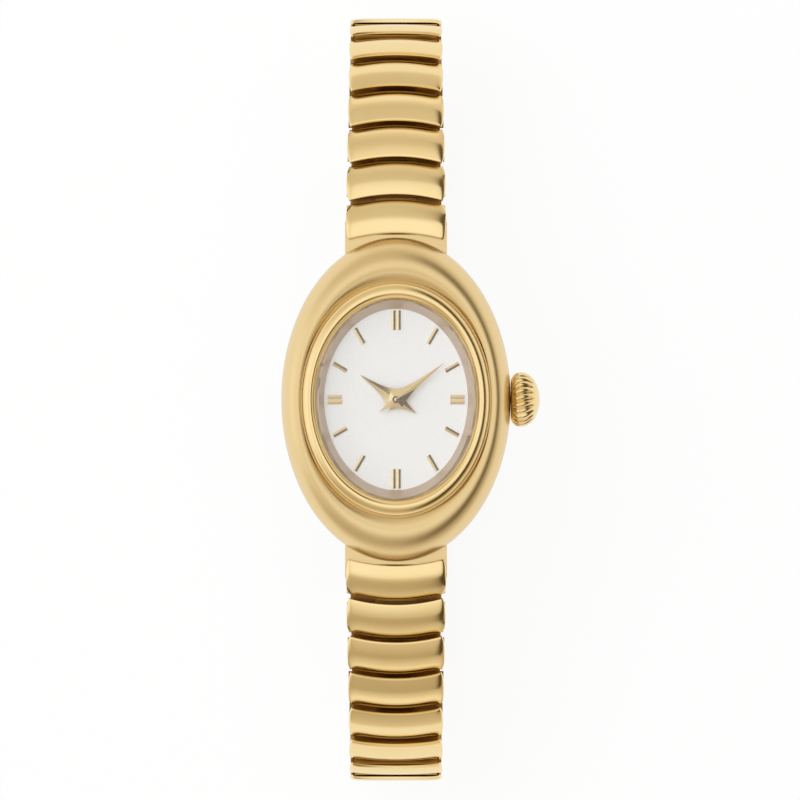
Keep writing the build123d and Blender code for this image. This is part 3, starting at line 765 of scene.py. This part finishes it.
class WATCH_OT_markers(bpy.types.Operator):
    """Builds the applied hour markers."""

    bl_idname = "watch.markers"
    bl_label = "Hour markers"

    def execute(self, context):
        settings = settings_of(context)
        sizes = settings.dial
        gilt = finish_of("gilt_brass_diamond_cut", settings)
        top = sizes.base + sizes.thickness
        shape = bmesh.new()
        for hour in range(12):
            turn = math.radians(30 * hour)
            outer = self.reach(sizes.marker_outer_width, sizes.marker_outer_length, turn)
            inner = self.reach(sizes.marker_inner_width, sizes.marker_inner_length, turn)
            step = (sizes.marker_bar + sizes.marker_gap) / 2
            for place in (-step, step) if hour % 3 == 0 else (0,):
                self.add_bar(shape, sizes, turn, place, inner, outer, top)
        keep_piece("applied_markers", shape, gilt, "case", ["hour_markers"], FACET_SHARP)
        return {"FINISHED"}

    def reach(self, width, span, turn):
        """Distance from the middle to an oval, along a line turned from 12 o'clock."""
        across, along = width / 2 * math.cos(turn), span / 2 * math.sin(turn)
        return width / 2 * span / 2 / math.hypot(across, along)

    def add_bar(self, shape, sizes, turn, place, inner, outer, top):
        """One bar with a roof-shaped top."""
        half = sizes.marker_bar / 2
        eaves = top + sizes.marker_height - half * math.tan(sizes.marker_slope)
        outline = ((-half, top), (half, top), (half, eaves), (0, top + sizes.marker_height), (-half, eaves))
        fresh = set(shape.verts)
        draw_slab(shape, [(place + x, inner, z) for x, z in outline], (0, outer - inner, 0))
        bar = [v for v in shape.verts if v not in fresh]
        bmesh.ops.rotate(shape, cent=(0, 0, 0), matrix=Matrix.Rotation(-turn, 3, "Z"), verts=bar)


class WATCH_OT_hands(bpy.types.Operator):
    """Builds the two faceted hands and the pin that carries them."""

    bl_idname = "watch.hands"
    bl_label = "Hands"

    def execute(self, context):
        settings = settings_of(context)
        sizes = settings.dial
        gilt = finish_of("gilt_brass_diamond_cut", settings)
        minute_turn = 2 * math.pi * sizes.shown_minute / 60
        hour_turn = 2 * math.pi * sizes.shown_hour / 12
        self.add_hand(
            "minute_hand_faceted", sizes.minute_reach, sizes.minute_tail, sizes.minute_width,
            sizes.minute_base, sizes.minute_rise, minute_turn, gilt, "minute_hand",
        )
        self.add_hand(
            "hour_hand_faceted", sizes.hour_reach, sizes.hour_tail, sizes.hour_width, sizes.hour_base,
            sizes.hour_rise, hour_turn, gilt, "hour_hand",
        )
        self.add_pin(settings, sizes)
        return {"FINISHED"}

    def add_hand(self, name, reach, tail, width, base, rise, turn, material, body):
        """A four-pointed star with hollow sides, whose ridges run from the middle to the points."""
        shape = bmesh.new()
        rim = base + HAND_RIM * rise
        points = ((0, reach), (width / 2, 0), (0, -tail), (-width / 2, 0))
        outline = []
        for k, (x, y) in enumerate(points):
            after = points[(k + 1) % 4]
            for step in range(HAND_STEPS):
                share = step / HAND_STEPS
                hollow = 1 - HAND_HOLLOW * share * (1 - share)
                across, along = after[0] - x, after[1] - y
                outline.append((hollow * (x + across * share), hollow * (y + along * share)))
        low = [shape.verts.new((x, y, base)) for x, y in outline]
        high = [shape.verts.new((x, y, rim)) for x, y in outline]
        top = shape.verts.new((0, 0, base + rise))
        shape.faces.new(low)
        for k in range(len(low)):
            after = (k + 1) % len(low)
            shape.faces.new((low[k], low[after], high[after], high[k]))
            shape.faces.new((high[k], high[after], top))
        bmesh.ops.rotate(shape, cent=(0, 0, 0), matrix=Matrix.Rotation(-turn, 3, "Z"), verts=shape.verts)
        keep_piece(name, shape, material, body, [body], FACET_SHARP)

    def add_pin(self, settings, sizes):
        """The end of the pipe over the minute hand, dark with painted shade."""
        steel = finish_of("steel_pipe_painted_shade", settings)
        shape = bmesh.new()
        low = sizes.minute_base
        rings = [
            (radius * sizes.pin_radius, radius * sizes.pin_radius, low + share * (sizes.pin_top - low))
            for radius, share in PIN_PROFILE
        ]
        draw_oval(shape, rings, PIN_SIDES, True)
        keep_piece("hand_pin", shape, steel, "minute_hand")


class WATCH_OT_crown(bpy.types.Operator):
    """Builds the onion-shaped crown."""

    bl_idname = "watch.crown"
    bl_label = "Crown"

    def execute(self, context):
        settings = settings_of(context)
        sizes = settings.crown
        polished = finish_of("gold_plated_steel_polished", settings)
        rings = [
            (share * sizes.radius, share * sizes.radius, along * sizes.length)
            for along, share in CROWN_PROFILE
        ]
        shape = bmesh.new()
        draw_oval(shape, rings, sizes.ridges * RIDGE_SIDES, False)
        for vert in shape.verts:
            along = vert.co.z / sizes.length
            groove = max(0, min(1, along / RIDGE_FADE, (RIDGE_END - along) / RIDGE_FADE))
            turn = math.atan2(vert.co.y, vert.co.x) + sizes.twist * along
            dip = groove * sizes.depth * (1 - math.sqrt(abs(math.cos(sizes.ridges * turn / 2))))
            radius = math.hypot(vert.co.x, vert.co.y)
            vert.co.x *= 1 - dip / radius
            vert.co.y *= 1 - dip / radius
        sideways = Matrix.Rotation(math.pi / 2, 4, "Y")
        place = Matrix.Translation((sizes.start, 0, sizes.height)) @ sideways
        bmesh.ops.transform(shape, matrix=place, verts=shape.verts)
        keep_piece("crown_fluted", shape, polished, "crown", ["crown"], CROWN_SHARP)
        return {"FINISHED"}


class WATCH_OT_bracelet(bpy.types.Operator):
    """Builds the covers, sleeves, inner links and bows of the bracelet."""

    bl_idname = "watch.bracelet"
    bl_label = "Bracelet"

    def execute(self, context):
        settings = settings_of(context)
        sizes = settings.bracelet
        polished = finish_of("gold_plated_steel_polished", settings)
        # the carriers' finish is darker by painted shade, for the gaps between the covers
        drawn = finish_of("gold_plated_steel_drawn", settings)
        for half, side in HALVES:
            for number in range(1, sizes.links + 1):
                body = f"{half}_link_{number:02d}"
                width = self.width_of(sizes, number)
                place = link_place(sizes, number - 0.5, side)
                shape = bmesh.new()
                closing = side < 0 and number == sizes.links
                reach = sizes.cover_length + sizes.cover_growth * min(number - 1, sizes.taper_links)
                self.add_cover(shape, sizes, width, sizes.closing_cover if closing else reach)
                bmesh.ops.transform(shape, matrix=place, verts=shape.verts)
                name = f"{half}_cover_{number:02d}"
                keep_piece(name, shape, polished, body, [body], COVER_SHARP)
                shape = bmesh.new()
                self.add_sleeve(shape, sizes, width, closing)
                bmesh.ops.transform(shape, matrix=place, verts=shape.verts)
                if side > 0 or number < sizes.links:
                    self.add_inner(shape, sizes, number, side, width)
                name = f"{half}_carrier_{number:02d}"
                keep_piece(name, shape, drawn, body, (), CARRIER_SHARP)
        return {"FINISHED"}

    def width_of(self, sizes, number):
        """Width of a cover: the links near the case are a little wider."""
        steps_left = max(0, sizes.taper_links - number)
        return sizes.cover_width + sizes.taper * steps_left / (sizes.taper_links - 1)

    def add_cover(self, shape, sizes, width, reach):
        """A pillow-shaped cover: a grid raised into a dome and drawn down to its flat underside."""
        rim = sizes.cover_base + sizes.cover_edge
        bmesh.ops.create_grid(shape, x_segments=COVER_COLUMNS, y_segments=COVER_ROWS, size=1)
        for vert in shape.verts:
            across = math.copysign(1 - (1 - abs(vert.co.x)) ** COVER_CROWDING, vert.co.x)
            along = vert.co.y
            past = along - sizes.crest
            run = past / (1 - math.copysign(sizes.crest, past))
            waist = sum(share * along**power for share, power in WAIST_PARTS)
            half = width / 2 - sizes.cover_waist * waist
            dome = (1 - abs(run) ** DOME_ALONG) * math.sqrt(max(0, 1 - abs(across) ** DOME_ACROSS))
            vert.co = (
                across * half,
                along * reach / 2 - sizes.cover_arch * across**2,
                rim + sizes.cover_dome * dome,
            )
        edge = [e for e in shape.edges if e.is_boundary]
        drawn = bmesh.ops.extrude_edge_only(shape, edges=edge)["geom"]
        verts = [g for g in drawn if isinstance(g, bmesh.types.BMVert)]
        bmesh.ops.translate(shape, vec=(0, 0, -sizes.cover_edge), verts=verts)
        bmesh.ops.edgeloop_fill(shape, edges=[e for e in shape.edges if e.is_boundary])
        bmesh.ops.recalc_face_normals(shape, faces=shape.faces)
        round_edges(shape, edge, sizes.cover_round, ROUND_SEGMENTS)

    def add_sleeve(self, shape, sizes, width, closing):
        """The tube under a cover, in which the bows' legs slide."""
        reach = sizes.sleeve_length + (sizes.closing_room if closing else 0)
        middle = sizes.sleeve_shift + (reach - sizes.sleeve_length) / 2
        half_box = width / 2 - sizes.bow_thickness - sizes.bow_overhang
        tube = bmesh.ops.create_cube(shape, size=1)["verts"]
        top, base = sizes.cover_base, sizes.sleeve_base
        bmesh.ops.scale(shape, vec=(2 * half_box, reach, top - base), verts=tube)
        bmesh.ops.translate(shape, vec=(0, middle, (top + base) / 2), verts=tube)
        ends = [f for f in shape.faces if abs(f.normal.x) > 0.9]
        bmesh.ops.inset_individual(shape, faces=ends, thickness=sizes.sleeve_wall, depth=0)
        rims = [list(f.edges) for f in ends]
        bmesh.ops.delete(shape, geom=ends, context="FACES_ONLY")
        bmesh.ops.bridge_loops(shape, edges=rims[0] + rims[1])

    def add_inner(self, shape, sizes, number, side, width):
        """The inner link behind an outer link, with its four bows."""
        place = link_place(sizes, number, side)
        behind = link_place(sizes, number - 0.5, side)
        ahead = link_place(sizes, number + 0.5, side)
        ahead_leg = 0
        if number == sizes.links:
            ahead = link_place(sizes, number - 0.5, -side)
            ahead_leg = sizes.closing_leg
        face = width / 2 - sizes.bow_thickness - sizes.bow_overhang + sizes.clearance
        bridge = sizes.bridge_width / 2
        base = sizes.inner_base
        shelf, top = base + sizes.wing_height, base + sizes.inner_height
        start = -sizes.inner_length / 2
        outline = (
            (-face, start, base), (face, start, base), (face, start, shelf), (bridge, start, shelf),
            (bridge, start, top), (-bridge, start, top), (-bridge, start, shelf), (-face, start, shelf),
        )
        fresh = bmesh.new()
        draw_slab(fresh, outline, (0, sizes.inner_length, 0))
        level = shelf + sizes.clearance
        upper = [e for e in fresh.edges if min(v.co.z for v in e.verts) > level]
        round_edges(fresh, upper, sizes.inner_round, ROUND_SEGMENTS)
        back = place.inverted()
        legs = (
            (back @ behind @ Vector((0, sizes.far_leg, sizes.leg_rise)), -sizes.bow_foot),
            (back @ ahead @ Vector((0, ahead_leg, sizes.leg_rise)), sizes.bow_foot),
        )
        for leg, foot in legs:
            for hand in (1, -1):
                self.add_bow(fresh, sizes, hand, face, foot, leg)
        bmesh.ops.transform(fresh, matrix=place, verts=fresh.verts)
        held = bpy.data.meshes.new("inner_link")
        fresh.to_mesh(held)
        fresh.free()
        shape.from_mesh(held)
        bpy.data.meshes.remove(held)

    def add_bow(self, shape, sizes, hand, face, foot, leg):
        """A bow: up from the inner link's side, then a leg into the sleeve."""
        half = sizes.bow_size / 2
        near, far = hand * face, hand * (face + sizes.bow_thickness)
        outline = ((near, foot - half), (near, foot + half), (far, foot + half), (far, foot - half))
        corners = [shape.verts.new((x, y, sizes.inner_base)) for x, y in outline]
        lid = shape.faces.new(corners)
        for lift, slant in ((leg.z - half - sizes.inner_base, leg.y - foot), (sizes.bow_size, 0)):
            drawn = bmesh.ops.extrude_face_region(shape, geom=[lid])["geom"]
            verts = [g for g in drawn if isinstance(g, bmesh.types.BMVert)]
            bmesh.ops.translate(shape, vec=(0, slant, lift), verts=verts)
            lid = next(g for g in drawn if isinstance(g, bmesh.types.BMFace))
        inside = min(
            (f for v in lid.verts for f in v.link_faces if f is not lid),
            key=lambda f: hand * f.calc_center_median().x - f.calc_center_median().z,
        )
        drawn = bmesh.ops.extrude_face_region(shape, geom=[inside])["geom"]
        verts = [g for g in drawn if isinstance(g, bmesh.types.BMVert)]
        bmesh.ops.delete(shape, geom=[inside], context="FACES_ONLY")
        bmesh.ops.translate(shape, vec=(-hand * sizes.leg_length, 0, 0), verts=verts)


NODE_FINISHES = {
    "stainless_steel_brushed": ("case_back", "button_cell"),
    "hardened_steel_ground": (
        "winding_stem", "clutch_pinion", "setting_lever", "cannon_pinion", "spring_bars",
    ),
    "brass_as_cut": ("minute_wheel", "hour_wheel"),
    "nickel_plated_brass_frosted": ("main_plate",),
    "copper_wire_enamelled": ("drive_coil",),
}


class WATCH_OT_works(bpy.types.Operator):
    """Gives the case back, stem and movement pieces their finishes."""

    bl_idname = "watch.works"
    bl_label = "Back and movement"

    def execute(self, context):
        settings = settings_of(context)
        for name, nodes in NODE_FINISHES.items():
            finish = finish_of(name, settings)
            for node in nodes:
                dress_node(node, finish)
        return {"FINISHED"}


class WATCH_OT_stage(bpy.types.Operator):
    """Sets the floor, the lights and the camera."""

    bl_idname = "watch.stage"
    bl_label = "Studio"

    def execute(self, context):
        settings = settings_of(context)
        sizes = settings.stage
        low, high = cad_box
        shape = bmesh.new()
        bmesh.ops.create_grid(shape, x_segments=1, y_segments=1, size=sizes.floor_size / 2)
        bmesh.ops.translate(shape, vec=(0, 0, low.z), verts=shape.verts)
        mesh = bpy.data.meshes.new("studio_floor")
        shape.to_mesh(mesh)
        shape.free()
        mesh.materials.append(studio_floor(settings.colours))
        floor = bpy.data.objects.new("studio_floor", mesh)
        context.scene.collection.objects.link(floor)
        self.add_world(context)
        self.add_light(context, "fill", FILL_PLACE, FILL_SIZE, FILL_POWER)
        camera = bpy.data.objects.new("camera", bpy.data.cameras.new("camera"))
        camera.location = (0, 0, sizes.camera_height)
        camera.data.lens = sizes.lens
        camera.data.sensor_width = 36
        camera.data.shift_x = sizes.shift_x
        camera.data.shift_y = sizes.shift_y
        camera.data.clip_start = 0.01
        camera.data.clip_end = 10
        context.scene.collection.objects.link(camera)
        context.scene.camera = camera
        context.scene.view_settings.view_transform = "Standard"
        return {"FINISHED"}

    def add_world(self, context):
        """A tent of light: brightest overhead, greyer half way down and pale at the floor."""
        world = bpy.data.worlds.new("studio_world")
        context.scene.world = world
        world.use_nodes = True
        tree = world.node_tree
        tree.nodes.clear()
        where = add(tree, "ShaderNodeTexCoord")
        parts = add(tree, "ShaderNodeSeparateXYZ", None, {"Vector": (where, "Generated")})
        tent = add(tree, "ShaderNodeValToRGB", None, {"Fac": (parts, "Z")})
        levels = (
            (0.0, "F8F3EA"), (0.15, "E2DBCF"), (0.45, "D3CBBD"),
            (0.8, "DAD3C6"), (0.92, "F4F0EA"), (0.98, "FFFFFF"),
        )
        self.set_ramp(tent, levels)
        # a dark card at the right, half way up, which gives the cut facets their dark sides
        card = add(tree, "ShaderNodeValToRGB", None, {"Fac": (parts, "Z")})
        self.set_ramp(card, ((0.42, "FFFFFF"), (0.54, "6E665A"), (0.84, "6E665A"), (0.9, "FFFFFF")))
        sideways = {"Value": (parts, "X")}
        right = add(tree, "ShaderNodeMapRange", {"From Min": 0.08, "From Max": 0.3}, sideways)
        darker = {"data_type": "RGBA", "blend_type": "MULTIPLY"}
        shade = add(tree, "ShaderNodeMix", darker, {"Factor": (right, "Result")})
        tree.links.new(tent.outputs["Color"], shade.inputs[6])
        tree.links.new(card.outputs["Color"], shade.inputs[7])
        # the side towards 6 o'clock is a little darker
        front = add(tree, "ShaderNodeMath", {"operation": "MULTIPLY", 1: -1}, {0: (parts, "Y")})
        fall = add(tree, "ShaderNodeValToRGB", None, {"Fac": (front, "Value")})
        self.set_ramp(fall, ((0.1, "FFFFFF"), (0.35, "E0DAD0"), (0.8, "E0DAD0"), (0.98, "FFFFFF")))
        both = add(tree, "ShaderNodeMix", {**darker, "Factor": 1.0})
        tree.links.new(shade.outputs[2], both.inputs[6])
        tree.links.new(fall.outputs["Color"], both.inputs[7])
        # a soft box at the left
        left = add(tree, "ShaderNodeMapRange", {"From Min": -0.4, "From Max": -0.6}, sideways)
        along = add(tree, "ShaderNodeMath", {"operation": "ABSOLUTE"}, {0: (parts, "Y")})
        ends = {"From Min": 0.6, "From Max": 0.25}
        short = add(tree, "ShaderNodeMapRange", ends, {"Value": (along, "Value")})
        sides = {0: (left, "Result"), 1: (short, "Result")}
        box = add(tree, "ShaderNodeMath", {"operation": "MULTIPLY"}, sides)
        white = {"data_type": "RGBA", 7: linear("FFFFFF")}
        lit = add(tree, "ShaderNodeMix", white, {"Factor": (box, "Value"), 6: (both, 2)})
        back = add(tree, "ShaderNodeBackground", {"Strength": 1.1}, {"Color": (lit, 2)})
        add(tree, "ShaderNodeOutputWorld", None, {"Surface": (back, "Background")})

    def set_ramp(self, node, levels):
        """Sets a colour ramp to (place, hex colour) pairs."""
        stops = node.color_ramp.elements
        while len(stops) < len(levels):
            stops.new(0.5)
        for stop, (place, _) in zip(stops, levels):
            stop.position = place
        for stop, (_, hex_colour) in zip(stops, levels):
            stop.color = linear(hex_colour)

    def add_light(self, context, name, place, size, power):
        """A square soft box that faces the watch."""
        lamp = bpy.data.lights.new(name, "AREA")
        lamp.shape = "SQUARE"
        lamp.size = size
        lamp.energy = power
        lamp.color = linear(FILL_COLOUR)[:3]
        light = bpy.data.objects.new(name, lamp)
        light.location = place
        light.rotation_euler = Vector(place).to_track_quat("Z", "Y").to_euler()
        light.visible_glossy = False
        context.scene.collection.objects.link(light)


class WATCH_PT_panel(bpy.types.Panel):
    """Lists the watch's steps in the sidebar."""

    bl_idname = "WATCH_PT_panel"
    bl_label = "Watch"
    bl_space_type = "VIEW_3D"
    bl_region_type = "UI"
    bl_category = "Watch"

    def draw(self, context):
        for operator in OPERATORS:
            self.layout.operator(operator.bl_idname)


OPERATORS = (
    WATCH_OT_case,
    WATCH_OT_bezel,
    WATCH_OT_dial,
    WATCH_OT_markers,
    WATCH_OT_hands,
    WATCH_OT_crown,
    WATCH_OT_bracelet,
    WATCH_OT_works,
    WATCH_OT_stage,
)
CLASSES = (
    CaseSizes,
    BezelSizes,
    DialSizes,
    CrownSizes,
    BraceletSizes,
    FinishColours,
    StageSizes,
    WatchSettings,
    *OPERATORS,
    WATCH_PT_panel,
)


def register():
    """Registers the classes and the settings."""
    for each in CLASSES:
        bpy.utils.register_class(each)
    bpy.types.Scene.watch_settings = PointerProperty(type=WatchSettings)


def unregister():
    """Takes the settings and the classes out again."""
    del bpy.types.Scene.watch_settings
    for each in reversed(CLASSES):
        bpy.utils.unregister_class(each)


def main():
    """Builds the whole scene."""
    register()
    bpy.ops.watch.case()
    bpy.ops.watch.bezel()
    bpy.ops.watch.dial()
    bpy.ops.watch.markers()
    bpy.ops.watch.hands()
    bpy.ops.watch.crown()
    bpy.ops.watch.bracelet()
    bpy.ops.watch.works()
    bpy.ops.watch.stage()
    bpy.context.view_layer.update()


if __name__ == "__main__":
    main()
